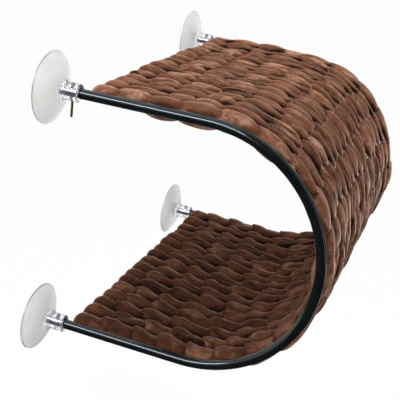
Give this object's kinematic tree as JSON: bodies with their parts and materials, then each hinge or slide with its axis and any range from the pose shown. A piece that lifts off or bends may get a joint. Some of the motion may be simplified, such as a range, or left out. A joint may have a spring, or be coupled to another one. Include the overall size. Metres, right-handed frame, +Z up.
{
  "type": "window mounted cat perch",
  "caption": "C shaped cat perch for a window: velvet cord woven over cross rods between two bent side tubes, held to the glass by suction cups with lock pins.",
  "frame": {"origin": "on the window glass, at the middle of the four suction cups", "axes": "+X away from the glass into the room, +Y across the perch to the right as seen from the room, +Z up"},
  "size_m": [0.3542, 0.524, 0.383],
  "materials": {
    "tube_enamel": "gloss black enamel on steel tube",
    "rod_enamel": "gloss black enamel on steel rod",
    "velvet": "brown crushed velvet cord, padded",
    "chrome": "polished",
    "clear_vinyl": "milky clear soft vinyl",
    "brass": "dull olive brass plate"
  },
  "bodies": {
    "perch": {"side_tube_left": "tube_enamel", "side_tube_right": "tube_enamel", "cross_rod_01": "rod_enamel", "cross_rod_02": "rod_enamel", "cross_rod_03": "rod_enamel", "cross_rod_04": "rod_enamel", "cross_rod_05": "rod_enamel", "cross_rod_06": "rod_enamel", "cross_rod_07": "rod_enamel", "cross_rod_08": "rod_enamel", "cross_rod_09": "rod_enamel", "cross_rod_10": "rod_enamel", "cross_rod_11": "rod_enamel", "cross_rod_12": "rod_enamel", "cross_rod_13": "rod_enamel", "cross_rod_14": "rod_enamel", "cross_rod_15": "rod_enamel", "cross_rod_16": "rod_enamel", "cross_rod_17": "rod_enamel", "cross_rod_18": "rod_enamel", "cross_rod_19": "rod_enamel", "velvet_row_01": "velvet", "velvet_row_02": "velvet", "velvet_row_03": "velvet", "velvet_row_04": "velvet", "velvet_row_05": "velvet", "velvet_row_06": "velvet", "velvet_row_07": "velvet", "velvet_row_08": "velvet", "velvet_row_09": "velvet", "velvet_row_10": "velvet", "velvet_row_11": "velvet", "velvet_row_12": "velvet", "velvet_row_13": "velvet", "velvet_row_14": "velvet", "velvet_row_15": "velvet", "velvet_row_16": "velvet", "velvet_row_17": "velvet", "spigot_upper_left": "chrome", "spigot_upper_right": "chrome", "spigot_lower_left": "chrome", "spigot_lower_right": "chrome", "suction_cup_upper_left": "clear_vinyl", "suction_cup_upper_right": "clear_vinyl"},
    "lower_left_cup": {"suction_cup_lower_left": "clear_vinyl"},
    "lower_right_cup": {"suction_cup_lower_right": "clear_vinyl"},
    "upper_left_pin": {"lock_pin_upper_left": "brass"},
    "upper_right_pin": {"lock_pin_upper_right": "brass"}
  },
  "joints": [
    {"name": "upper_left_pin_pull", "type": "slide", "parent": "perch", "child": "upper_left_pin", "axis": [0, 0, -1], "range_m": [0, 0.022]},
    {"name": "upper_right_pin_pull", "type": "slide", "parent": "perch", "child": "upper_right_pin", "axis": [0, 0, -1], "range_m": [0, 0.022]},
    {"name": "lower_left_cup_turn", "type": "hinge", "parent": "perch", "child": "lower_left_cup", "pos_m": [0.028, -0.2195, -0.149], "axis": [1, 0, 0], "continuous": true},
    {"name": "lower_right_cup_turn", "type": "hinge", "parent": "perch", "child": "lower_right_cup", "pos_m": [0.028, 0.2195, -0.149], "axis": [1, 0, 0], "continuous": true}
  ]
}
